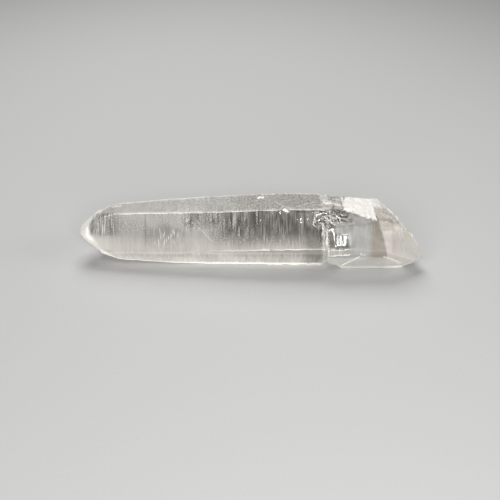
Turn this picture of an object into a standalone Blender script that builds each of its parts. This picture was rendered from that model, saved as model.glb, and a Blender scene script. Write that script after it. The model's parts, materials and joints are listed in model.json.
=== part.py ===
"""A natural quartz point, one crystal, lying on a prism face: tip at -X, broken root at +X, +Z up.

The six prism faces taper towards the tip and carry the rungs of the growth ladder. Rhombohedral
faces at the true angle of quartz close the tip. The root is a stouter, broken lump: planes of
fracture, shell-shaped scoops and small chips.
"""

import math
import random

import bmesh
import bpy
from mathutils import Matrix, Vector, noise

MM = 0.001

# The crystal's long axis, as (y, z) at its two ends: it dips a little towards the tip
TIP_X, ROOT_X = -50.0 * MM, 30.0 * MM
AXIS_AT_TIP = Vector((0.9, 8.3)) * MM
AXIS_AT_ROOT = Vector((0.0, 9.5)) * MM

# Prism faces, by the angle of their normal about the axis: 0 looks to the front, 90 looks up
TOP, FRONT_UPPER, FRONT_LOWER, BOTTOM, BACK_LOWER, BACK_UPPER = 90, 30, -30, -90, -150, 150
FACES = (TOP, FRONT_UPPER, FRONT_LOWER, BOTTOM, BACK_LOWER, BACK_UPPER)

# Distance of each prism face from the axis at stations along the crystal: the taper
STATIONS = [x * MM for x in (-51.5, -44.2, -39.2, -25.9, -12.5, 10.0, 24.5)]
TAPER = {
    TOP: [h * MM for h in (3.9, 5.6, 6.95, 7.8, 8.55, 9.9, 9.7)],
    FRONT_UPPER: [h * MM for h in (4.1, 4.6, 5.0, 6.2, 7.4, 8.75, 8.5)],
    FRONT_LOWER: [h * MM for h in (4.4, 6.0, 7.4, 8.3, 8.6, 8.8, 8.8)],
    BOTTOM: [h * MM for h in (4.6, 6.0, 7.4, 8.3, 8.9, 9.3, 9.6)],
    BACK_LOWER: [h * MM for h in (3.6, 4.5, 5.4, 6.7, 7.9, 8.7, 8.6)],
    BACK_UPPER: [h * MM for h in (3.9, 5.5, 6.7, 7.6, 8.5, 8.7, 8.2)],
}

# Growth ladder: each rung is a low step that runs across the faces, square to the axis
RUNG_GAPS = (0.7 * MM, 2.1 * MM)
DENSE_FROM = -19.0 * MM  # towards the tip from here the rungs stand this much further apart
THINNING = 1.8
RUNG_RUN = 0.3 * MM  # length of a riser along the axis
RUNG_RISE = {
    TOP: 0.05 * MM,
    FRONT_UPPER: 0.07 * MM,
    FRONT_LOWER: 0.08 * MM,
    BOTTOM: 0.0,
    BACK_LOWER: 0.08 * MM,
    BACK_UPPER: 0.07 * MM,
}
CALM_TO = -37.5 * MM  # no rungs between the tip and here
RUNG_UNEVEN = 0.07 * MM  # how far a rung wanders within one face
COLUMNS = 3  # points that a face has across its width

# Tip: rhombohedral faces, whose normals stand 51.8 degrees from the axis. Each would meet the axis
# this far beyond the tip: the larger the distance, the less of the crystal the face takes up
TIP = Vector((-50.15, 1.35, 9.1)) * MM
RHOMB_ANGLE = math.radians(51.8)
RHOMB_BEYOND = {
    TOP: 0.0,
    FRONT_LOWER: 2.5 * MM,
    BACK_LOWER: 0.1 * MM,
    BACK_UPPER: 0.6 * MM,
    BOTTOM: 2.4 * MM,
    FRONT_UPPER: 2.6 * MM,
}
TIP_BLUNT = 0.25 * MM

# Planes that break the prism off inside the root, as a point in mm and the outward normal
PRISM_END = [
    ((23.6, -3.0, 18.6), (0.86, 0.20, 0.47)),
    ((22.9, -8.0, 13.0), (0.90, -0.30, 0.32)),
]

# Root lump: planes that bound it, as a point in mm and the outward normal
ROOT_BLOCK = Vector((30.0, 22.0, 20.0)) * MM
ROOT_MIDDLE = Vector((35.0, 0.0, 9.5)) * MM
ROOT_PLANES = [
    # the prism's own faces, swollen a little at the root
    ((27.5, 0.0, 17.3), (0.055, 0.05, 1.0)),
    ((30.0, -8.9, 13.2), (0.0, -0.866, 0.5)),
    ((30.0, -8.8, 4.4), (0.0, -0.866, -0.5)),
    ((30.0, 9.3, 5.0), (0.0, 0.866, -0.5)),
    ((30.0, 8.2, 14.0), (0.0, 0.866, 0.5)),
    # the break: outer, front, low and back fractures
    ((49.6, -7.4, 5.6), (0.80, 0.42, 0.43)),
    ((39.6, -10.6, 9.0), (0.50, -0.76, 0.41)),
    ((45.2, -8.0, 1.4), (0.42, -0.86, -0.28)),
    ((49.2, -7.0, 4.6), (0.60, 0.06, -0.80)),
    ((40.0, 10.0, 9.0), (0.56, 0.80, -0.22)),
    # the crown, where the rough white break cuts off the top edge
    ((27.0, -4.4, 17.5), (-0.06, -0.46, 0.88)),
    ((36.0, 1.6, 17.0), (0.30, 0.08, 0.93)),
    ((40.4, -4.0, 16.2), (0.62, -0.20, 0.75)),
    # the shoulder, where the lump stands proud of the prism
    ((21.0, -9.5, 5.0), (-0.93, -0.34, -0.16)),
    ((22.4, -6.0, 0.8), (-0.66, -0.45, -0.60)),
    ((21.2, 5.0, 16.0), (-0.90, 0.30, 0.30)),
    ((33.0, 8.8, 2.6), (-0.05, 0.62, -0.78)),
]
ROOT_ROUNDING = 0.5 * MM
ROOT_GRAIN = 2.5 * MM  # longest edge after the lump is divided for its unevenness
ROOT_UNEVEN = 0.45 * MM
ROOT_WAVE = 4.5 * MM  # distance over which the unevenness changes

# Scoops: centre and half axes in mm, turns about Y and Z in degrees of each shell-shaped hollow
SCOOPS = {
    "scoop_front_break": ((48.8, -17.2, 15.0), (13.0, 11.0, 9.5), (20, 30)),
    "scoop_waist": ((22.5, -7.1, -1.7), (3.6, 4.9, 3.6), (0, -10)),
    "scoop_crown": ((24.6, 3.4, 20.9), (1.7, 4.4, 3.0), (12, -14)),
    "scoop_break_upper": ((47.9, -1.0, 16.9), (4.3, 5.4, 4.4), (40, 10)),
    "scoop_break_middle": ((52.5, -1.6, 10.4), (4.0, 5.4, 3.6), (30, 0)),
    "scoop_break_low": ((51.2, -5.6, 8.2), (1.9, 2.6, 2.4), (30, 0)),
    "scoop_break_back": ((45.5, 9.8, 9.5), (5.0, 4.4, 5.5), (15, -30)),
    "scoop_underside": ((33.0, -10.6, -6.4), (9.0, 6.2, 8.6), (0, 12)),
    "chip_back_edge": ((2.4, 4.3, 20.4), (1.7, 1.6, 1.5), (0, 0)),
    "chip_front_edge": ((10.2, -4.7, 20.0), (1.3, 1.4, 1.2), (0, 0)),
    "chip_shoulder": ((-43.6, 4.6, 14.6), (1.6, 1.3, 1.1), (0, 15)),
    "chip_top": ((16.6, 3.4, 20.3), (2.4, 1.8, 1.4), (5, 0)),
}
SCOOP_SEGMENTS = 24
BROAD_SEGMENTS = 72  # of a scoop so large that only a cap of it cuts
BROAD_FROM = 9.5 * MM

# What the crystal lies on: everything below height zero is cut away, which leaves a flat face
FLOOR_BLOCK = Vector((140.0, 60.0, 10.0)) * MM

WELD = 0.01 * MM


def axis_at(x):
    """The axis at x, as (y, z)."""
    return AXIS_AT_TIP.lerp(AXIS_AT_ROOT, (x - TIP_X) / (ROOT_X - TIP_X))


def outward(angle):
    """Direction in the section's plane, as (y, z), in which a face's normal points."""
    turn = math.radians(angle)
    return Vector((-math.cos(turn), math.sin(turn)))


def taper_at(face, x):
    """Distance of a prism face from the axis at x, between the stations."""
    heights = TAPER[face]
    for i in range(len(STATIONS) - 1):
        if x <= STATIONS[i + 1] or i == len(STATIONS) - 2:
            share = (x - STATIONS[i]) / (STATIONS[i + 1] - STATIONS[i])
            return heights[i] + share * (heights[i + 1] - heights[i])


def corner(face_a, reach_a, face_b, reach_b):
    """Where two faces of one section meet, as (y, z) from the axis."""
    a, b = outward(face_a), outward(face_b)
    spread = a.x * b.y - a.y * b.x
    return Vector(((reach_a * b.y - reach_b * a.y) / spread, (reach_b * a.x - reach_a * b.x) / spread))


def section(x, lift, waver):
    """Points round the crystal at x. waver moves the inner points of each face in or out."""
    points = []
    reaches = {f: taper_at(f, x) + lift[f] for f in FACES}
    for i, face in enumerate(FACES):
        before, after = FACES[i - 1], FACES[(i + 1) % len(FACES)]
        start = corner(before, reaches[before], face, reaches[face])
        end = corner(face, reaches[face], after, reaches[after])
        for column in range(COLUMNS):
            flat = start.lerp(end, column / COLUMNS) + axis_at(x)
            if column:
                flat += outward(face) * waver[face][column - 1]
            points.append(Vector((x, flat.x, flat.y)))
    return points


def rungs():
    """Sections along the prism: two for each rung, either side of its riser."""
    dice = random.Random(11)
    waver = {face: [0.0] * (COLUMNS - 1) for face in FACES}
    lift = {face: 0.0 for face in FACES}
    sections = [section(x, lift, waver) for x in STATIONS[:3]]
    x = CALM_TO
    while x < STATIONS[-1] - RUNG_RUN:
        sections.append(section(x, lift, waver))
        lift = {f: RUNG_RISE[f] * dice.uniform(-1, 1) for f in FACES}
        for face in FACES:
            rough = RUNG_UNEVEN if RUNG_RISE[face] else 0.0
            waver[face] = [rough * dice.uniform(-1, 1) for _ in waver[face]]
        x += RUNG_RUN
        sections.append(section(x, lift, waver))
        x += dice.uniform(*RUNG_GAPS) * (1.0 if x > DENSE_FROM else THINNING)
    return sections


def loft(sections):
    """A closed body through sections that have the same number of points."""
    body = bmesh.new()
    rings = [[body.verts.new(p) for p in points] for points in sections]
    for ring, following in zip(rings, rings[1:]):
        for i in range(len(ring)):
            j = (i + 1) % len(ring)
            body.faces.new((ring[i], ring[j], following[j], following[i]))
    body.faces.new(rings[0])
    body.faces.new(rings[-1])
    bmesh.ops.recalc_face_normals(body, faces=body.faces)
    return body


def cleave(body, point, normal):
    """Splits the body at a plane, drops what lies on the normal's side and closes the cut."""
    everything = body.verts[:] + body.edges[:] + body.faces[:]
    cut = bmesh.ops.bisect_plane(
        body, geom=everything, dist=WELD, plane_co=point, plane_no=normal, clear_outer=True
    )
    rim = [e for e in cut["geom_cut"] if isinstance(e, bmesh.types.BMEdge)]
    if rim:
        bmesh.ops.holes_fill(body, edges=rim)


def shape_tip(body):
    """Closes the tip with its rhombohedral faces, set square to the dipping axis."""
    along = axis_at(ROOT_X) - axis_at(TIP_X)
    lean = Vector((1, 0, 0)).rotation_difference(Vector((ROOT_X - TIP_X, along.x, along.y)))
    for face, beyond in RHOMB_BEYOND.items():
        side = outward(face) * math.sin(RHOMB_ANGLE)
        normal = lean @ Vector((-math.cos(RHOMB_ANGLE), side.x, side.y))
        cleave(body, TIP - Vector((beyond, 0, 0)), normal)
    cleave(body, TIP + Vector((TIP_BLUNT, 0, 0)), Vector((-1, -0.1, 0.2)))


def make_prism():
    body = loft(rungs())
    shape_tip(body)
    for point, normal in PRISM_END:
        cleave(body, Vector(point) * MM, Vector(normal))
    bmesh.ops.triangulate(body, faces=body.faces)
    return body


def divide(body, longest):
    """Splits every edge that is longer than the given length, and its faces into triangles."""
    bmesh.ops.triangulate(body, faces=body.faces)
    while True:
        long_edges = [e for e in body.edges if e.calc_length() > longest]
        if not long_edges:
            return
        bmesh.ops.subdivide_edges(body, edges=long_edges, cuts=1)
        bmesh.ops.triangulate(body, faces=body.faces, quad_method="SHORT_EDGE")


def make_uneven(body):
    """Gives broken faces the low swells and hollows that no flat plane has."""
    for vertex in body.verts:
        vertex.co += noise.noise_vector(vertex.co / ROOT_WAVE) * ROOT_UNEVEN


def make_block(size):
    body = bmesh.new()
    bmesh.ops.create_cube(body, size=1.0)
    bmesh.ops.transform(body, matrix=Matrix.Diagonal((*size, 1)), verts=body.verts)
    return body


def make_root():
    """The stouter broken end: a block split by planes, rounded and uneven."""
    body = make_block(ROOT_BLOCK)
    bmesh.ops.translate(body, vec=ROOT_MIDDLE, verts=body.verts)
    for point, normal in ROOT_PLANES:
        cleave(body, Vector(point) * MM, Vector(normal))
    bmesh.ops.bevel(
        body, geom=body.edges[:], offset=ROOT_ROUNDING, segments=1, affect="EDGES", clamp_overlap=True
    )
    divide(body, ROOT_GRAIN)
    make_uneven(body)
    return body


def make_scoop(half_axes, turns):
    body = bmesh.new()
    segments = BROAD_SEGMENTS if max(half_axes) * MM > BROAD_FROM else SCOOP_SEGMENTS
    bmesh.ops.create_uvsphere(body, u_segments=segments, v_segments=segments // 2, radius=MM)
    about_y, about_z = (math.radians(t) for t in turns)
    turn = Matrix.Rotation(about_z, 4, "Z") @ Matrix.Rotation(about_y, 4, "Y")
    bmesh.ops.transform(body, matrix=turn @ Matrix.Diagonal((*half_axes, 1)), verts=body.verts)
    return body


def quartz_material():
    material = bpy.data.materials.new("clear_quartz")
    material.use_nodes = True
    shader = material.node_tree.nodes["Principled BSDF"]
    shader.inputs["Base Color"].default_value = (0.93, 0.93, 0.91, 1)
    shader.inputs["Roughness"].default_value = 0.2
    shader.inputs["Metallic"].default_value = 0.0
    shader.inputs["IOR"].default_value = 1.545
    shader.inputs["Transmission Weight"].default_value = 1.0
    return material


def add_object(name, body, collection, parent, place=Vector((0, 0, 0))):
    mesh = bpy.data.meshes.new(name)
    body.to_mesh(mesh)
    body.free()
    made = bpy.data.objects.new(name, mesh)
    made.location = place
    made.parent = parent
    collection.objects.link(made)
    return made


def as_cutter(made):
    made.hide_render = True
    made.display_type = "WIRE"


def add_boolean(target, other, operation):
    modifier = target.modifiers.new(other.name, "BOOLEAN")
    modifier.operation = operation
    modifier.object = other


def set_on_origin(crystal, frame):
    """Moves the whole assembly so that the middle of the crystal's footprint is the origin."""
    bpy.context.view_layer.update()
    solid = crystal.evaluated_get(bpy.context.evaluated_depsgraph_get())
    corners = [solid.matrix_world @ Vector(c) for c in solid.bound_box]
    low = Vector(min(c[i] for c in corners) for i in range(3))
    high = Vector(max(c[i] for c in corners) for i in range(3))
    frame.location -= Vector(((low.x + high.x) / 2, (low.y + high.y) / 2, low.z))


def main():
    for old in list(bpy.data.objects):
        bpy.data.objects.remove(old)
    parts = bpy.data.collections.new("quartz_point")
    cutters = bpy.data.collections.new("cutters")
    bpy.context.scene.collection.children.link(parts)
    bpy.context.scene.collection.children.link(cutters)

    frame = bpy.data.objects.new("crystal_frame", None)
    parts.objects.link(frame)
    crystal = add_object("quartz_crystal", make_prism(), parts, frame)
    crystal.data.materials.append(quartz_material())

    root = add_object("root_lump", make_root(), cutters, frame)
    as_cutter(root)
    add_boolean(crystal, root, "UNION")
    floor_place = Vector((0, 0, -FLOOR_BLOCK.z / 2))
    floor = add_object("floor_cutter", make_block(FLOOR_BLOCK), cutters, frame, floor_place)
    as_cutter(floor)
    add_boolean(crystal, floor, "DIFFERENCE")
    for name, (centre, half_axes, turns) in SCOOPS.items():
        scoop = add_object(name, make_scoop(half_axes, turns), cutters, frame, Vector(centre) * MM)
        as_cutter(scoop)
        add_boolean(crystal, scoop, "DIFFERENCE")
    set_on_origin(crystal, frame)


main()
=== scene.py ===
"""A clear quartz point with a ladder of growth lines, lying on its side on a pale floor."""

import json
import math

import bpy
import numpy as np
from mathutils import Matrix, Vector

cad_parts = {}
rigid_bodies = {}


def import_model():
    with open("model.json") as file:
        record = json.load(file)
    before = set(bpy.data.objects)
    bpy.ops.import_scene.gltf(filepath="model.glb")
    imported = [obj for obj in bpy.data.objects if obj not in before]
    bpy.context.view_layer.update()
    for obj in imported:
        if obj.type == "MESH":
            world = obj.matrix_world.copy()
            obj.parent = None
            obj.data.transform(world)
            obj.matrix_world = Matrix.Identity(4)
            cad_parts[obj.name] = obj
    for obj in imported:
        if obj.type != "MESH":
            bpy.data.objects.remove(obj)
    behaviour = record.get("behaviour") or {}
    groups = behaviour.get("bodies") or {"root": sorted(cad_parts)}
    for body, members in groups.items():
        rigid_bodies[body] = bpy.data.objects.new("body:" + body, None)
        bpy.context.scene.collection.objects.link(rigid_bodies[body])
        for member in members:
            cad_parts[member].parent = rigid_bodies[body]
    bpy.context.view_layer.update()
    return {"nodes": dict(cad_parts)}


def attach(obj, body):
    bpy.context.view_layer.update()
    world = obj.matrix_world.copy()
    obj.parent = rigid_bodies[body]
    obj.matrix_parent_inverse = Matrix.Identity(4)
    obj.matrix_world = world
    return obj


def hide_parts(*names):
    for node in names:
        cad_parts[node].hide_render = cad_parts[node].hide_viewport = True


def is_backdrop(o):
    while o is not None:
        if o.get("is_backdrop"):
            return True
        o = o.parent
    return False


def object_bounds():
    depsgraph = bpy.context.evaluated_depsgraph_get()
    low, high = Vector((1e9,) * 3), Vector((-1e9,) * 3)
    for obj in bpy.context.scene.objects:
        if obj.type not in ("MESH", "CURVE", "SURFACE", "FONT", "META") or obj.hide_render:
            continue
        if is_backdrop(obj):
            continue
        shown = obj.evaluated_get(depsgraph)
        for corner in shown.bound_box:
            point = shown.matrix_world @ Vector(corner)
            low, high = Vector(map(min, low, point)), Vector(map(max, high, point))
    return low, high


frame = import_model()

# The view of the photograph: from the long side of the crystal, looking down on it by 35 degrees
# from about 20 cm away. The crystal lies a little above the middle of the frame.
MM = 0.001
VIEW_DOWN = math.radians(35.0)
VIEW_BELOW = math.radians(1.7)
VIEW_TILT = math.radians(0.1)
VIEW_AIM = Vector((0.0, 0.0, 9.3)) * MM
VIEW_AWAY = 201.0 * MM

back = Vector((0.0, -math.cos(VIEW_DOWN), math.sin(VIEW_DOWN)))
bpy.ops.object.camera_add(location=VIEW_AIM + back * VIEW_AWAY)
camera = bpy.context.object
camera.name = "camera"
camera.rotation_euler = (math.pi / 2 - VIEW_DOWN - VIEW_BELOW, 0.0, VIEW_TILT)
camera.data.lens = 50.0
camera.data.sensor_width = 36.0
camera.data.clip_start = 5.0 * MM
bpy.context.scene.camera = camera

# The crystal itself, the one piece. It grew in water: a six-sided prism under a point of
# rhombohedral faces, with a ladder of fine growth lines across the prism, and broke from its
# root, which is stouter, part glassy and part shattered white. All of its surface is this mesh.
VOXEL = 0.385 * MM
FINER_ALONG = 2.0
WELD = 0.002 * MM
LINES_PITCH, LINES_ACROSS, LINES_DEPTH = 0.55 * MM, 9.0 * MM, 0.12 * MM
RIPPLE_PITCH, RIPPLE_DEPTH = 5.0 * MM, 0.16 * MM
SWELL_PITCH, SWELL_DEPTH = 3.0 * MM, 0.36 * MM
SHELL_SIZE, SHELL_DEPTH = 1.7 * MM, 0.55 * MM
BREAK_GRAIN, BREAK_DEPTH = 1.1 * MM, 0.45 * MM
RIM_ROUNDS, RIM_STANDS_OUT = 24, 0.50 * MM
SEEN_Y, SEEN_Z = 0.5736, 0.8192  # how far a step in y and one in z rise in the photograph's view


def only(piece):
    """Makes the piece the one selected and active object."""
    bpy.ops.object.select_all(action="DESELECT")
    piece.select_set(True)
    bpy.context.view_layer.objects.active = piece


def ramp(value, low, high):
    """0 below low, 1 above high and a soft climb between."""
    share = min(1.0, max(0.0, (value - low) / (high - low)))
    return share * share * (3.0 - 2.0 * share)


def weigh(piece, name, rule):
    """A vertex group whose weights come from the rule, by each vertex's place and normal."""
    group = piece.vertex_groups.new(name=name)
    for vertex in piece.data.vertices:
        weight = rule(vertex.co / MM, vertex.normal)
        if weight > 0.001:
            group.add([vertex.index], weight, "REPLACE")


def melt(piece, group, rounds):
    """Softens the edges in the group."""
    soft = piece.modifiers.new(group, "SMOOTH")
    soft.vertex_group = group
    soft.factor = 0.5
    soft.iterations = rounds
    bpy.ops.object.modifier_apply(modifier=soft.name)


def carve(piece, group, grain, depth, kind="CLOUDS", detail=0):
    """Cuts a grain of the given size (along, across, up) into the group, inwards only."""
    texture = bpy.data.textures.new(group, kind)
    texture.noise_scale = 1.0
    if kind == "CLOUDS":
        texture.noise_depth = detail
    bpy.ops.object.empty_add()
    ruler = bpy.context.object
    ruler.scale = grain
    only(piece)
    cut = piece.modifiers.new(group, "DISPLACE")
    cut.texture = texture
    cut.texture_coords = "OBJECT"
    cut.texture_coords_object = ruler
    cut.vertex_group = group
    cut.mid_level = 1.0
    cut.strength = depth
    bpy.ops.object.modifier_apply(modifier=cut.name)
    bpy.data.objects.remove(ruler)


def note_down(piece, name, values):
    """Keeps a value for each vertex as an attribute that the material can read."""
    layer = piece.data.attributes.new(name, "FLOAT", "POINT")
    layer.data.foreach_set("value", values.astype(np.float32))


def mark_facing(piece, name):
    """An attribute that is 1 where the surface faces up, 0 where it is upright, -1 underneath."""
    facing = np.empty(len(piece.data.vertices) * 3)
    piece.data.vertices.foreach_get("normal", facing)
    note_down(piece, name, facing.reshape(-1, 3)[:, 2])


def mark_rims(piece, name, rounds, full):
    """An attribute that is 1 on sharp outer edges and 0 on flat or hollow ground."""
    mesh = piece.data
    count = len(mesh.vertices)
    place, facing = np.empty(count * 3), np.empty(count * 3)
    mesh.vertices.foreach_get("co", place)
    mesh.vertices.foreach_get("normal", facing)
    place, facing = place.reshape(-1, 3), facing.reshape(-1, 3)
    ends = np.empty(len(mesh.edges) * 2, dtype=np.int64)
    mesh.edges.foreach_get("vertices", ends)
    one, other = ends.reshape(-1, 2).T
    links = np.bincount(one, minlength=count) + np.bincount(other, minlength=count)
    spread = place.copy()
    for _ in range(rounds):
        total = np.zeros_like(spread)
        np.add.at(total, one, spread[other])
        np.add.at(total, other, spread[one])
        spread = total / links[:, None]
    stands_out = ((place - spread) * facing).sum(axis=1)
    note_down(piece, name, np.clip(stands_out / full, 0.0, 1.0))


def clear_of_floor(place, normal, low, high):
    """0 on the flat that the crystal lies on, 1 above it."""
    return ramp(place.z, low, high) * (1.0 - ramp(-normal.z, 0.80, 0.95))


def on_tip(place, normal):
    """The point and its first few millimetres, whose edges are worn."""
    return ramp(place.x, -49.7, -48.4) * (1.0 - ramp(place.x, -41.0, -36.0)) * ramp(place.z, 0.3, 1.0)


def on_step(place, normal):
    """The step from prism to root."""
    return ramp(place.x, 18.5, 20.5) * (1.0 - ramp(place.x, 23.0, 25.5)) * ramp(place.z, 0.3, 1.0)


def on_pocket(place, normal):
    """The smooth shell of glassy fracture on the root's front."""
    along = ramp(place.x, 21.5, 23.0) * (1.0 - ramp(place.x, 30.0, 32.0))
    return along * ramp(-place.y, 4.0, 6.0) * ramp(place.z, 2.0, 4.0) * (1.0 - ramp(place.z, 14.0, 15.0))


def on_root(place, normal):
    """The root's outer half, whose edges are worn and whose faces roll a little."""
    return clear_of_floor(place, normal, 0.3, 1.2) * ramp(place.x + 0.2 * place.z, 31.0, 34.0)


def on_prism(place, normal):
    """The growth ladder: strong on the root half and at the tip, faint between them."""
    ladder = max(ramp(place.x, -22.0, -10.0), 1.0 - ramp(place.x, -41.0, -37.0))
    along = (1.0 - ramp(place.x, 20.0, 23.0)) * ramp(place.x, -47.5, -45.5)
    return clear_of_floor(place, normal, 0.15, 0.8) * along * (0.05 + 0.95 * ladder)


def on_break(place, normal):
    """The shattered crown on the root, and less of it on the root's end, most high up."""
    crown = ramp(place.z + 0.35 * place.y, 12.6, 14.6) * ramp(place.x, 22.0, 26.0)
    end = ramp(place.x + 0.35 * place.y, 36.5, 40.5)
    rough = max(crown, end * (0.30 + 0.35 * ramp(place.z, 9.0, 14.0)))
    return clear_of_floor(place, normal, 0.15, 0.8) * rough


def by_step(place, normal):
    """The step from prism to root, on its upper front, where small shells have flaked off."""
    seen_height = SEEN_Y * place.y + SEEN_Z * place.z
    along = ramp(place.x, 19.2, 20.6) * (1.0 - ramp(place.x, 25.0, 28.0))
    return along * ramp(seen_height, 8.0, 10.0) * (0.4 + 0.6 * ramp(-normal.y, -0.2, 0.4))


bpy.ops.object.select_all(action="DESELECT")
frame["nodes"]["quartz_crystal"].select_set(True)
bpy.context.view_layer.objects.active = frame["nodes"]["quartz_crystal"]
bpy.ops.object.duplicate()
crystal = bpy.context.object
crystal.name = "crystal"
for key in list(crystal.keys()):
    del crystal[key]
crystal.parent = None
crystal.data.materials.clear()
only(crystal)
bpy.ops.object.mode_set(mode="EDIT")
bpy.ops.mesh.select_all(action="SELECT")
bpy.ops.mesh.remove_doubles(threshold=WELD)
bpy.ops.object.mode_set(mode="OBJECT")

# The mesh is stretched while it is remade, so that it comes out finer along the crystal.
crystal.scale = (FINER_ALONG, 1.0, 1.0)
bpy.ops.object.transform_apply(location=False, rotation=False, scale=True)
remesh = crystal.modifiers.new("fine_mesh", "REMESH")
remesh.mode = "VOXEL"
remesh.voxel_size = VOXEL
remesh.use_smooth_shade = True
bpy.ops.object.modifier_apply(modifier=remesh.name)
crystal.scale = (1.0 / FINER_ALONG, 1.0, 1.0)
bpy.ops.object.transform_apply(location=False, rotation=False, scale=True)

MELTS = [
    # group, where it lies, rounds of softening
    ("tip", on_tip, 6),
    ("step", on_step, 24),
    ("pocket", on_pocket, 30),
    ("worn", on_root, 6),
]
CARVINGS = [
    # group, grain along, across and up, depth, kind of grain, its detail
    ("growth_lines", (LINES_PITCH, LINES_ACROSS, LINES_ACROSS), LINES_DEPTH, "CLOUDS", 2),
    ("ripples", (RIPPLE_PITCH * 0.5, RIPPLE_PITCH, RIPPLE_PITCH), RIPPLE_DEPTH, "CLOUDS", 1),
    ("swell", (SWELL_PITCH, SWELL_PITCH, SWELL_PITCH), SWELL_DEPTH, "CLOUDS", 2),
    ("shells", (SHELL_SIZE, SHELL_SIZE, SHELL_SIZE), SHELL_DEPTH, "VORONOI", 0),
    ("shatter", (BREAK_GRAIN, BREAK_GRAIN, BREAK_GRAIN), BREAK_DEPTH, "VORONOI", 0),
    ("shatter", (BREAK_GRAIN, BREAK_GRAIN, BREAK_GRAIN), 0.6 * BREAK_DEPTH, "CLOUDS", 3),
]
for group, rule, rounds in MELTS:
    weigh(crystal, group, rule)
for group, rule, rounds in MELTS:
    melt(crystal, group, rounds)
mark_facing(crystal, "upward")
weigh(crystal, "growth_lines", on_prism)
weigh(crystal, "ripples", on_prism)
weigh(crystal, "swell", on_root)
weigh(crystal, "shatter", on_break)
weigh(crystal, "shells", by_step)
for group, grain, depth, kind, detail in CARVINGS:
    carve(crystal, group, grain, depth, kind, detail)
crystal.vertex_groups.clear()
for vertex in crystal.data.vertices:
    vertex.co.z = max(vertex.co.z, 0.0)
bpy.ops.object.shade_smooth()
mark_rims(crystal, "rim", RIM_ROUNDS, RIM_STANDS_OUT)


class Worth:
    """A shader socket that takes part in sums, so that maths on it reads as maths."""

    def __init__(self, tree, socket):
        self.tree, self.socket = tree, socket

    def join(self, operation, *others):
        node = self.tree.nodes.new("ShaderNodeMath")
        node.operation = operation
        for slot, other in zip(node.inputs, others):
            if isinstance(other, Worth):
                self.tree.links.new(other.socket, slot)
            else:
                slot.default_value = other
        return Worth(self.tree, node.outputs[0])

    def __add__(self, other):
        return self.join("ADD", self, other)

    def __radd__(self, other):
        return self.join("ADD", other, self)

    def __sub__(self, other):
        return self.join("SUBTRACT", self, other)

    def __rsub__(self, other):
        return self.join("SUBTRACT", other, self)

    def __mul__(self, other):
        return self.join("MULTIPLY", self, other)

    def __rmul__(self, other):
        return self.join("MULTIPLY", other, self)

    def most(self, other):
        return self.join("MAXIMUM", self, other)

    def least(self, other):
        return self.join("MINIMUM", self, other)

    def climb(self, low, high):
        """0 at low, 1 at high and beyond it, smooth between. It falls where high is the lower."""
        node = self.tree.nodes.new("ShaderNodeMapRange")
        node.interpolation_type = "SMOOTHSTEP"
        self.tree.links.new(self.socket, node.inputs["Value"])
        node.inputs["From Min"].default_value = low
        node.inputs["From Max"].default_value = high
        return Worth(self.tree, node.outputs["Result"])

    def near(self, middle, reach):
        """1 at the middle, falling to 0 at the given distance from it."""
        return self.join("ABSOLUTE", self - middle).climb(reach, 0.0)


class Finish:
    """A material's node tree, with one method that adds any node."""

    def __init__(self, name):
        self.material = bpy.data.materials.new(name)
        self.material.use_nodes = True
        self.tree = self.material.node_tree
        self.tree.nodes.clear()
        self.out = self.add("ShaderNodeOutputMaterial")

    def add(self, kind, settings=None, **sockets):
        """A node. A socket is given by its name, or by its number as _0, _1 and so on."""
        node = self.tree.nodes.new(kind)
        for name, value in (settings or {}).items():
            setattr(node, name, value)
        for name, value in sockets.items():
            slot = node.inputs[int(name[1:]) if name[1:].isdigit() else name.replace("_", " ")]
            if isinstance(value, Worth):
                self.tree.links.new(value.socket, slot)
            elif isinstance(value, bpy.types.NodeSocket):
                self.tree.links.new(value, slot)
            else:
                slot.default_value = value
        return node

    def place(self):
        """Object coordinates in millimetres, as a vector socket and as x, y and z."""
        where = self.add("ShaderNodeTexCoord").outputs["Object"]
        scaled = self.add("ShaderNodeVectorMath", {"operation": "SCALE"}, _0=where, Scale=1.0 / MM)
        apart = self.add("ShaderNodeSeparateXYZ", _0=scaled.outputs[0])
        return scaled.outputs[0], *(Worth(self.tree, o) for o in apart.outputs)

    def mark(self, name):
        """A value that the mesh itself carries."""
        return Worth(self.tree, self.add("ShaderNodeAttribute", {"attribute_name": name}).outputs["Fac"])

    def cloud(self, where, size, detail=2.0, rough=0.5, shift=0.0):
        """Soft noise of the given size in mm along x, y and z."""
        if not isinstance(size, tuple):
            size = (size, size, size)
        fit = self.add(
            "ShaderNodeMapping",
            _0=where,
            Location=(shift, shift, shift),
            Scale=tuple(1.0 / s for s in size),
        )
        noise_node = self.add(
            "ShaderNodeTexNoise",
            Vector=fit.outputs[0],
            Scale=1.0,
            Detail=detail,
            Roughness=rough,
        )
        return Worth(self.tree, noise_node.outputs["Fac"])

    def blend(self, share, first, second):
        """A colour between two, by the share."""
        node = self.add("ShaderNodeMix", {"data_type": "RGBA"}, _0=share, _6=first, _7=second)
        return node.outputs[2]

    def coat(self, piece):
        """Puts this material on the piece in place of any other."""
        piece.data.materials.clear()
        piece.data.materials.append(self.material)


QUARTZ_IOR = 1.545
FROST_ROUGHNESS = 0.55
DEEP_TINT, TINT_DENSITY = (0.80, 0.79, 0.76, 1.0), 90.0
BUMP_HEIGHT = 0.25 * MM
SEAM_X = 19.9  # where the root begins, in mm
FRONT_NEARER, AXIS_SEEN = 0.96, 7.62  # scale of the marks about this height, in mm as it is seen

# the clear glass and the dark grey of its painted shade
CLEAR = (0.97, 0.96, 0.93, 1.0)
SHADE_GREY = (0.27, 0.262, 0.24, 1.0)
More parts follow.
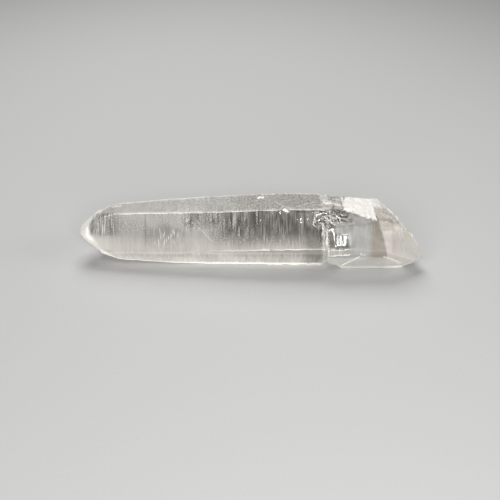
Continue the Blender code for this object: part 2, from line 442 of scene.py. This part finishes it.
# the frosted surface: from grey to snow white, with dark specks and a pinkish blush; its lightness
# carries painted light and shade
DUSK = (0.15, 0.143, 0.13, 1.0)
GREY = (0.305, 0.293, 0.268, 1.0)
SNOW = (0.975, 0.945, 0.89, 1.0)
BLUSH = (0.80, 0.70, 0.66, 1.0)
# the root's bands, from its glassy part to its end
SLATE = (0.42, 0.415, 0.40, 1.0)
BARK = (0.28, 0.24, 0.19, 1.0)
PETAL = (0.68, 0.62, 0.58, 1.0)
ASH = (0.84, 0.82, 0.77, 1.0)
MOSS = (0.66, 0.66, 0.61, 1.0)
# stain on the break, and the dark of its pits
RUST = (0.50, 0.40, 0.22, 1.0)
PIT_DARK = (0.22, 0.20, 0.155, 1.0)

quartz = Finish("quartz")
where, x, y, z = quartz.place()
up = SEEN_Y * y + SEEN_Z * z

# unevenness of many sizes: size in mm, detail, roughness and shift
cloudy = quartz.cloud(where, 9.0, 3.0)
shells = quartz.cloud(where, 1.2, 3.0, 0.6, 2.0)
fine = quartz.cloud(where, 0.7, 3.0, 0.6)
pepper = quartz.cloud(where, 0.5, 2.0, 0.6, 5.0)
dots = quartz.cloud(where, 0.7, 2.0, 0.5, 9.0)
broad_lines = quartz.cloud(where, (2.2, 14.0, 14.0), 2.0, 0.6, 4.0)
bars = quartz.cloud(where, (0.62, 9.0, 9.0), 1.0, 0.5, 6.0)
lines = quartz.cloud(where, (0.42, 6.0, 6.0), 3.0, 0.55)
speckle = quartz.cloud(where, (0.32, 2.0, 2.0), 2.0, 0.55, 3.0)
hairs = quartz.cloud(where, (0.27, 5.0, 5.0), 2.0, 0.6, 7.0)
fibres = quartz.cloud(where, (3.0, 0.5, 0.5), 3.0, 0.6, 1.0)
wander = (shells - 0.5) * 1.1
comb = lines.climb(0.40, 0.62)

# the faces of the prism and the edges between them, from the values that the mesh carries, with a
# painted highlight along the edges and rims
upward = quartz.mark("upward")
rim = quartz.mark("rim").climb(0.15, 1.0)
curved = x - SEAM_X - 0.014 * (7.0 - up) * (7.0 - up)
root = (curved + (cloudy - 0.5) * 1.0).climb(-0.2, 0.4)
prism = 1.0 - root
top = upward.climb(0.66, 0.80)
lower = upward.climb(0.0, -0.35) * prism
# painted highlight: the prism's edges, from the tip half to the root, are frosted more and made lighter
corner = upward.near(0.75, 0.14).most(upward.near(0.0, 0.22) * x.climb(-12.0, 2.0))
corner = corner.most(upward.near(-0.72, 0.20)) * x.climb(-42.5, -40.5) * prism
# painted highlight on the rims: along the top face's far edge, and along the lower edge in the tip half
rim_highlight = rim * top * y.climb(1.0, 3.0) * prism
rim_highlight = rim_highlight.most(rim * lower * z.climb(4.5, 2.5) * x.climb(-46.0, -43.5) * x.climb(-24.0, -32.0))

# zones of the prism: the tip, made white as a painted highlight, with dark grooves behind it, a salted
# patch, a clear window on the root half with painted shade that is darkest at its top, and a painted
# shade where the root begins
tip = (x - 0.09 * (up - 7.6) * (up - 7.6) + (fine - 0.5) * 1.6).climb(-44.6, -47.0)
# painted light: the lower part of the tip half is made lighter
blunt = x.climb(-33.0, -44.0) * up.climb(8.0, 4.0)
grooves = x.climb(-46.6, -45.4) * x.climb(-36.0, -40.0) * up.climb(5.0, 7.5) * up.climb(12.6, 11.6)
salted = x.near(-14.5, 7.0).climb(0.0, 0.5) * up.climb(7.5, 10.0) * (1.0 - top)
window = (x + (broad_lines - 0.5) * 6.0).climb(-12.0, -6.0)
window = window.most(0.65 * (x + (fine - 0.5) * 4.0).climb(-20.0, -16.0) * up.climb(7.0, 10.0))
window = window * (up + (lines - 0.5) * 9.0).climb(1.0, 8.0) * (1.0 - top)
drawn = window.most(grooves).most(0.08)
# painted shade: the lower front and the lower face near the root are made darker
root_seam_shade = x.climb(13.5, 17.5) * up.climb(7.5, 4.5) * prism
# painted light: the bottom edge, the lower part of the view and its very bottom are made lighter
foot_highlight = z.climb(1.7, 0.3) * x.climb(-38.0, -30.0)
low = up.climb(7.0, 2.0) * up.climb(0.2, 1.2)
under = up.climb(1.4, 0.8)

# the patch of flecks in the tip half, with darker dapples round it
from_flecks = (x + 24.5) * (x + 24.5) * 0.035 + (up - 5.4) * (up - 5.4) * 0.09
dapple = from_flecks.climb(1.6, 0.4) * (cloudy + (speckle - 0.5) * 2.0).climb(0.62, 0.38)
flecks = from_flecks.climb(1.0, 0.3) * speckle.climb(0.58, 0.66)

# zones of the root: glassy near the prism, then grey haze, a brownish band, a pinkish facet and a
# greenish end over a clear lower strip, all under a shattered white crown
streaked = x.near(22.8, 3.4).climb(0.0, 0.5) * up.climb(8.8, 7.2) * up.climb(0.5, 2.0)
mottle = (x - 22.3).near(0.0, 7.5).climb(0.0, 0.5) * (up - 10.9).near(0.0, 4.0).climb(0.0, 0.5)
ledge = curved.near(0.5, 1.3).climb(0.0, 0.5) * up.climb(9.5, 8.0)
haze = (x + (cloudy - 0.5) * 5.0 + (lines - 0.5) * 2.0).climb(24.6, 29.5)
haze = haze.most(0.75 * x.near(26.0, 4.5).climb(0.0, 0.5) * up.near(8.0, 2.6).climb(0.0, 0.6))
band = (x + wander * 0.4).climb(31.9, 34.0)
facet = (x + 0.247 * up + wander * 0.3).climb(37.6, 38.2)
high = root * facet * (up + wander).climb(5.5, 8.5)
brow = x.near(37.3, 3.2).climb(0.0, 0.5) * up.near(8.9, 2.4).climb(0.0, 0.5) * facet
beyond = (x + wander).climb(40.6, 42.8)
strip = (up + 0.397 * (x - 38.7).most(0.0) + wander * 0.3).climb(0.2, -0.5)
shelf = x.near(22.6, 4.6).climb(0.0, 0.35) * up.climb(12.6, 13.8)
crown = (up + (fine - 0.5) * 1.6 + wander + 0.33 * (x - 26.0)).climb(12.8, 13.1)
crown = crown * (x + wander * 1.2 - 0.25 * (up - 12.9)).climb(25.7, 26.1)
crown_end = 0.8 * up.climb(13.3, 14.4) * (x + (fine - 0.5) * 6.0).climb(41.0, 34.5)
crown = crown * (x + (fine - 0.5) * 0.9 + wander * 0.4).climb(35.0, 34.6).most(crown_end)

# the far edge of the break, with a rusty stain and dark spots in its pits
far_edge = 0.81 * (x - 38.7) + 0.585 * (up - 15.5) - 0.9 * up.climb(9.0, 5.0)
far_edge = (far_edge + (fine - 0.5) * 0.8).climb(-1.5, -0.8)
stain = ((x - 45.0) * (x - 45.0) + (up - 7.7) * (up - 7.7)).climb(9.0, 1.0) * fine.climb(0.44, 0.62)
pits = (0.72 * (x - 39.6) + 0.69 * (up - 12.9)).climb(-2.4, -1.6) * dots.climb(0.58, 0.66)
pits = pits * (0.69 * (x - 39.6) - 0.72 * (up - 12.9)).near(4.6, 5.2).climb(0.0, 0.3)


def stroke(points, width):
    """A thin wavering mark through the points, each a place along x and in height as they are
    seen in the plane of the crystal's axis. Its front stands nearer, where less fits in between."""
    points = [(FRONT_NEARER * px, AXIS_SEEN + FRONT_NEARER * (py - AXIS_SEEN)) for px, py in points]
    trace = None
    for (ax, au), (bx, bu) in zip(points, points[1:]):
        dx, du = bx - ax, bu - au
        reach = dx * dx + du * du
        share = (((x - ax) * dx + (up - au) * du) * (1.0 / reach)).most(0.0).least(1.0)
        off_x = x - (share * dx + ax) + wander * 0.5
        off_up = up - (share * du + au) + wander
        part = (off_x * off_x + off_up * off_up).climb(width * width, 0.15 * width * width)
        trace = part if trace is None else trace.most(part)
    return trace


# Cracks, chips and ridge lines that show white on the front and the top, and one white mark that is
# painted light in a shaded notch of the crown. Some are broken up by a noise, others run whole. A rough
# seam and a web of fine lines mark where the root begins.
BROKEN_MARKS = [
    # points along x and up in the view, width, strength, noise, where it begins and is whole
    ([(-17.2, 9.7), (-14.0, 7.1), (-11.4, 4.2)], 0.24, 0.4, fine, 0.30, 0.50),
    ([(6.9, 16.1), (9.2, 14.4), (11.2, 13.8), (19.3, 15.8)], 0.20, 0.5, fine, 0.35, 0.55),
    ([(2.1, 17.0), (3.5, 17.1)], 0.55, 1.0, pepper, 0.30, 0.45),
    ([(9.6, 13.2), (10.8, 12.9)], 0.45, 1.0, pepper, 0.30, 0.45),
    ([(18.7, 11.8), (20.5, 12.2), (21.6, 10.6), (23.9, 9.2)], 0.20, 1.0, fine, 0.36, 0.50),
    ([(24.5, 11.8), (25.7, 10.9)], 0.22, 1.0, fine, 0.36, 0.50),
    ([(18.3, 10.9), (17.9, 9.2), (19.3, 8.0)], 0.16, 0.8, fine, 0.36, 0.50),
    ([(21.3, 15.5), (26.3, 14.8)], 0.42, 1.0, fine, 0.30, 0.45),
    ([(31.8, 0.5), (32.9, 0.3)], 0.36, 1.0, fine, 0.35, 0.50),
]
WHOLE_MARKS = [
    # points along x and up in the view, width, strength
    ([(-41.5, 14.4), (-39.2, 14.6)], 0.45, 0.8),
    ([(22.8, -0.1), (25.6, 0.1), (28.6, 0.2)], 0.26, 0.8),
    # painted light: a white mark in the notch at the crown, whose wall would lie in shade
    ([(27.4, 17.5), (27.4, 14.0)], 0.50, 0.9),
    ([(27.4, -3.0), (30.0, -1.3), (31.5, -0.4)], 0.22, 1.0),
    ([(38.7, -0.1), (44.5, -2.4)], 0.25, 0.8),
]
seam = (curved + (cloudy - 0.5) * 4.0 + wander * 0.3).near(0.0, 0.34) * up.climb(9.6, 8.4)
cracks = seam * shells.climb(0.35, 0.65) * up.climb(-1.0, 3.0) * 0.8
cracks = cracks.most(shells.near(0.5, 0.05).climb(0.2, 0.7) * mottle * 0.7)
web = shells.near(0.5, 0.055).climb(0.1, 0.7) * curved.near(0.7, 1.7).climb(0.0, 0.6)
cracks = cracks.most(web * up.climb(-1.0, 2.0) * up.climb(11.0, 9.5) * 0.75)
for points, width, strength, noise, begins, whole in BROKEN_MARKS:
    cracks = cracks.most(stroke(points, width) * strength * noise.climb(begins, whole))
for points, width, strength in WHOLE_MARKS:
    cracks = cracks.most(stroke(points, width) * strength)
cracks = cracks * y.climb(7.0, 5.5)

# how much of the surface is frosted: first the prism, then the root, then what lies over both. More
# frost on the top, the bottom, the tip, the edges and the rims is part of their painted highlight
frost = 0.46 + (broad_lines - 0.5) * 0.12 + 0.14 * top + 0.10 * low + 0.14 * under
frost = frost + (comb - 0.5) * 0.30 * drawn - 0.36 * window - 0.12 * grooves
frost = frost + 0.30 * (pepper - 0.5) * top + 0.5 * (hairs - 0.5) * drawn + 0.10 * blunt
in_root = 0.10 + 0.52 * haze.most(strip).most(0.7 * up.climb(3.2, 1.6)).most(ledge) - 0.08 * mottle
in_root = in_root + 1.6 * (hairs - 0.44) * streaked
frost = frost * prism + root * in_root
frost = frost + 0.25 * flecks + 0.30 * dapple + 0.36 * tip + 0.3 * foot_highlight + 0.4 * far_edge
frost = frost + 0.06 * lower + 0.25 * high - 0.14 * root_seam_shade
frost = frost + 0.4 * corner * (0.4 + fine) + 0.6 * rim_highlight + 0.8 * (pepper - 0.45) * salted
frost = frost.most(crown * (1.0 - 0.12 * fine)).most(cracks * 0.9).most(shelf * 0.75)
frost = frost.most(stain * 0.7).most(pits * 0.9).least(1.0).most(0.02)

# how light the frosted part is, from grey at 0 to snow white at 1. Painted light makes the top face, the
# lower face, the tip, the bottom and the edges lighter; painted shade makes the clear window and the
# place where the root begins darker
light = 0.18 + (cloudy - 0.5) * 0.6 + 0.12 * low + 0.22 * under + (comb - 0.5) * 0.6 * drawn
light = light + (pepper - 0.5) * (0.15 + 1.4 * top * x.climb(-35.0, -12.0)) + 0.3 * flecks
light = light + lower * (0.7 * (hairs - 0.5) + 0.4 * (up.climb(1.6, -1.6) - 0.65))
light = light + lower * (0.17 - 0.27 * x.climb(-8.0, 10.0)) - 0.30 * root_seam_shade * (0.4 + pepper)
light = light + tip * (0.45 + 0.40 * up.climb(6.0, 9.5)) + 0.22 * blunt
light = light + 0.8 * (fibres - 0.5) * top * x.climb(2.0, 10.0)
light = light - 0.34 * window - 0.12 * grooves + 1.2 * (hairs - 0.5) * drawn.most(grooves * 2.2)
light = light + 0.6 * foot_highlight + 0.30 * top * x.climb(2.0, -20.0) + 0.7 * far_edge - 0.55 * dapple
light = light + 0.6 * corner + 1.2 * rim_highlight + 0.06 * top + 0.2 * ledge + 1.2 * (pepper - 0.5) * salted
light = light + shelf * (0.28 + 2.0 * (fibres - 0.5))
dark = (dapple * 0.8).most(salted * pepper.climb(0.50, 0.38) * 0.8)
dark = dark.most(grooves * hairs.climb(0.50, 0.38) * 0.6).most(window * hairs.climb(0.46, 0.36) * 0.5)

# the colour of the frosted part, zone over zone
ashen = quartz.blend(0.35 + fine.climb(0.35, 0.65) * 0.40, BARK, ASH)
tone = quartz.blend(light.most(0.0).least(1.0), GREY, SNOW)
for share, colour in [
    (dark, DUSK),
    # the pinkish blush low on the prism also makes it lighter there, as painted light
    (low * prism * 0.30, BLUSH),
    (root * haze * 0.85, SLATE),
    (root * band * 0.85, BARK),
    (root * facet * 0.90, PETAL),
    (high, ashen),
    (brow * 0.6, BARK),
    (root * beyond.most(strip) * 0.75, MOSS),
    (crown.most(cracks).most(far_edge * 0.8), SNOW),
    (stain * 0.75, RUST),
    (pits * 0.8, PIT_DARK),
]:
    tone = quartz.blend(share, tone, colour)

# the clear part: darkened with painted shade where the glass looks dark, in the window, the grooves, the
# root's mottled and streaked front and where the root begins, and glossiest on the root's glassy front
glass_shade = (window * (1.0 - 0.5 * comb)).most(grooves * 0.7 * (1.0 - comb))
glass_shade = glass_shade.most(mottle * 0.7).most(streaked * 0.6).most(root_seam_shade * 0.5)
gloss = 0.22 - 0.10 * window - 0.14 * root + 0.35 * root * haze.most(crown)

barred = bars * x.near(25.5, 4.0).climb(0.0, 0.4) * up.climb(8.0, 6.5)
relief = lines * 0.14 * drawn * prism + pepper * 0.05 * top + fine * (0.03 + 0.30 * crown)
relief = relief + 0.20 * shells * mottle + 0.36 * barred + 0.15 * cracks + 0.30 * fine * high
bump = quartz.add("ShaderNodeBump", Height=relief, Strength=0.8, Distance=BUMP_HEIGHT)
clear_quartz = quartz.add(
    "ShaderNodeBsdfPrincipled",
    Base_Color=quartz.blend(glass_shade, CLEAR, SHADE_GREY),
    Roughness=gloss,
    IOR=QUARTZ_IOR,
    Transmission_Weight=1.0,
    Normal=bump.outputs[0],
)
frosted = quartz.add(
    "ShaderNodeBsdfPrincipled",
    Base_Color=tone,
    Roughness=FROST_ROUGHNESS,
    IOR=QUARTZ_IOR,
    Normal=bump.outputs[0],
)
surface = quartz.add(
    "ShaderNodeMixShader",
    _0=frost,
    _1=clear_quartz.outputs[0],
    _2=frosted.outputs[0],
)
depths = quartz.add("ShaderNodeVolumeAbsorption", Color=DEEP_TINT, Density=TINT_DENSITY)
quartz.tree.links.new(surface.outputs[0], quartz.out.inputs["Surface"])
quartz.tree.links.new(depths.outputs[0], quartz.out.inputs["Volume"])
quartz.coat(crystal)
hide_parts("quartz_crystal")
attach(crystal, "root")

# Veils: old cracks inside the crystal that healed and left curved sheets of tiny flat bubbles.
# They show as a fine curved line, white flecks and a wide faint haze in the tip half, and as bright
# shells where the crystal broke at its root. Each veil is one piece made of many small flakes.
BUBBLE_SHAPE = (1.0, 0.7, 0.22)
BUBBLE_TURNS, BUBBLE_SIZES = (0.3, 0.3, 0.9), (1.5, 1.5, 1.5)
CELL_JITTER = 0.25
CURL_WAVE = 5.0 * MM
BUBBLE_IOR, BUBBLE_ROUGHNESS = 1.4, 0.35
MILK, PEARL = (0.70, 0.69, 0.67, 1.0), (0.97, 0.96, 0.94, 1.0)
VEILS = [
    # name, middle, length, width, turn in degrees, cells, flake share, kept share, curl, seed
    ("veil_line", (-14.4, -3.4, 11.0), 8.0, 3.4, (52.0, 0.0, 32.0), (34, 14), 0.34, 0.55, 0.6, 3),
    ("veil_flecks", (-23.4, -5.0, 10.4), 9.6, 6.3, (60.0, 0.0, 0.0), (28, 18), 0.38, 0.30, 0.9, 8),
    ("veil_haze", (-23.0, 0.0, 8.3), 34.0, 8.0, (60.0, 0.0, 0.0), (70, 18), 0.45, 0.45, 1.2, 9),
    ("veil_root", (23.4, -6.4, 15.0), 7.0, 4.5, (62.0, 12.0, 0.0), (20, 12), 0.55, 0.42, 0.8, 12),
]


def make_veil(name, middle, length, width, turn, cells, flake, kept, curl, seed):
    """A sheet is curled and thinned at random, and a flake is set on each cell that is left."""
    bpy.ops.mesh.primitive_grid_add(x_subdivisions=cells[0], y_subdivisions=cells[1], size=1.0)
    sheet = bpy.context.object
    sheet.scale = (length * MM, width * MM, 1.0)
    bpy.ops.object.transform_apply(location=False, rotation=False, scale=True)
    bpy.ops.object.mode_set(mode="EDIT")
    bpy.ops.mesh.select_all(action="SELECT")
    bpy.ops.transform.vertex_random(offset=CELL_JITTER * length / cells[0] * MM, seed=seed)
    bpy.ops.mesh.select_all(action="DESELECT")
    bpy.ops.mesh.select_mode(type="FACE")
    bpy.ops.mesh.select_random(ratio=1.0 - kept, seed=seed)
    bpy.ops.mesh.delete(type="FACE")
    bpy.ops.object.mode_set(mode="OBJECT")
    texture = bpy.data.textures.new(name, "CLOUDS")
    texture.noise_scale = CURL_WAVE
    bend = sheet.modifiers.new("curl", "DISPLACE")
    bend.texture = texture
    bend.texture_coords = "LOCAL"
    bend.strength = curl * MM
    bend.mid_level = 0.5
    bpy.ops.object.modifier_apply(modifier=bend.name)
    sheet.rotation_euler = [math.radians(a) for a in turn]
    sheet.location = Vector(middle) * MM
    bpy.ops.object.transform_apply(location=True, rotation=True, scale=True)
    bpy.ops.mesh.primitive_ico_sphere_add(subdivisions=1, radius=1.0)
    bubble = bpy.context.object
    bubble.scale = BUBBLE_SHAPE
    bpy.ops.object.transform_apply(location=False, rotation=False, scale=True)
    bubble.parent = sheet
    sheet.instance_type = "FACES"
    sheet.use_instance_faces_scale = True
    sheet.instance_faces_scale = flake
    only(sheet)
    bpy.ops.object.duplicates_make_real()
    flakes = [o for o in bpy.context.selected_objects if o not in (sheet, bubble)]
    bpy.ops.object.select_all(action="DESELECT")
    for one in flakes:
        one.select_set(True)
    bpy.context.view_layer.objects.active = flakes[0]
    bpy.ops.object.make_single_user(object=True, obdata=True)
    bpy.ops.object.randomize_transform(
        random_seed=seed, use_loc=False, rot=BUBBLE_TURNS, scale=BUBBLE_SIZES
    )
    bpy.ops.object.join()
    veil = bpy.context.object
    veil.name = name
    bpy.ops.object.transform_apply(location=True, rotation=True, scale=True)
    bpy.data.objects.remove(bubble)
    bpy.data.objects.remove(sheet)
    return veil


bubbles = Finish("veil_bubbles")
where, x, y, z = bubbles.place()
sparkle = bubbles.cloud(where, 0.6, 1.0)
bubble_skin = bubbles.add(
    "ShaderNodeBsdfPrincipled",
    Base_Color=bubbles.blend(sparkle.climb(0.35, 0.65), MILK, PEARL),
    Roughness=BUBBLE_ROUGHNESS,
    IOR=BUBBLE_IOR,
)
bubbles.tree.links.new(bubble_skin.outputs[0], bubbles.out.inputs["Surface"])
for settings in VEILS:
    veil = make_veil(*settings)
    bubbles.coat(veil)
    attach(veil, "root")

# The floor: a plain pale surface that the crystal lies on, wide enough to fill the view. It lies a
# hair below the crystal's flat side, so that the two surfaces don't share a plane.
FLOOR_SIZE, FLOOR_BELOW = 4.0, 0.02 * MM
PAPER_SHADE, PAPER_WHITE = (0.55, 0.55, 0.545, 1.0), (0.58, 0.58, 0.575, 1.0)
PAPER_ROUGHNESS = 0.8

bpy.ops.mesh.primitive_plane_add(size=FLOOR_SIZE, location=(0.0, 0.0, -FLOOR_BELOW))
floor = bpy.context.object
floor.name = "floor"
paper = Finish("pale_paper")
where, x, y, z = paper.place()
speck = paper.cloud(where, 0.8, 2.0)
sheet = paper.add(
    "ShaderNodeBsdfPrincipled",
    Base_Color=paper.blend(speck, PAPER_SHADE, PAPER_WHITE),
    Roughness=PAPER_ROUGHNESS,
)
paper.tree.links.new(sheet.outputs[0], paper.out.inputs["Surface"])
paper.coat(floor)
floor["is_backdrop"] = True

# The light: one broad soft lamp high behind, a smaller one at the left in front, a wide low one in
# front, a weak one at the right, and a dim room. Three narrow panes stand for a window, which the
# glassy front of the root reflects.
LAMPS = [
    # name, place, width, height, power
    ("lamp_above", (-40.0, 170.0, 330.0), 240.0, 240.0, 1.05),
    ("lamp_front", (-150.0, -260.0, 210.0), 150.0, 150.0, 0.35),
    ("lamp_low", (30.0, -330.0, 32.0), 260.0, 60.0, 0.95),
    ("lamp_right", (260.0, -30.0, 150.0), 90.0, 90.0, 0.16),
    ("lamp_pane_one", (37.5, -177.0, 127.0), 7.0, 20.0, 0.030),
    ("lamp_pane_two", (48.0, -177.0, 128.0), 4.5, 20.0, 0.022),
    ("lamp_pane_three", (57.0, -177.0, 113.0), 6.0, 18.0, 0.027),
]
ROOM_COLOUR, ROOM_STRENGTH = (1.0, 0.99, 0.97, 1.0), 0.06

for name, spot, width, height, power in LAMPS:
    at = Vector(spot) * MM
    bpy.ops.object.light_add(type="AREA", location=at)
    lamp = bpy.context.object
    lamp.name = name
    lamp.rotation_euler = (VIEW_AIM - at).to_track_quat("-Z", "Y").to_euler()
    lamp.data.shape = "RECTANGLE"
    lamp.data.size = width * MM
    lamp.data.size_y = height * MM
    lamp.data.energy = power

room = bpy.data.worlds.new("room")
room.use_nodes = True
room.node_tree.nodes["Background"].inputs["Color"].default_value = ROOM_COLOUR
room.node_tree.nodes["Background"].inputs["Strength"].default_value = ROOM_STRENGTH
bpy.context.scene.world = room
bpy.context.scene.view_settings.view_transform = "Standard"

low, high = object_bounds()
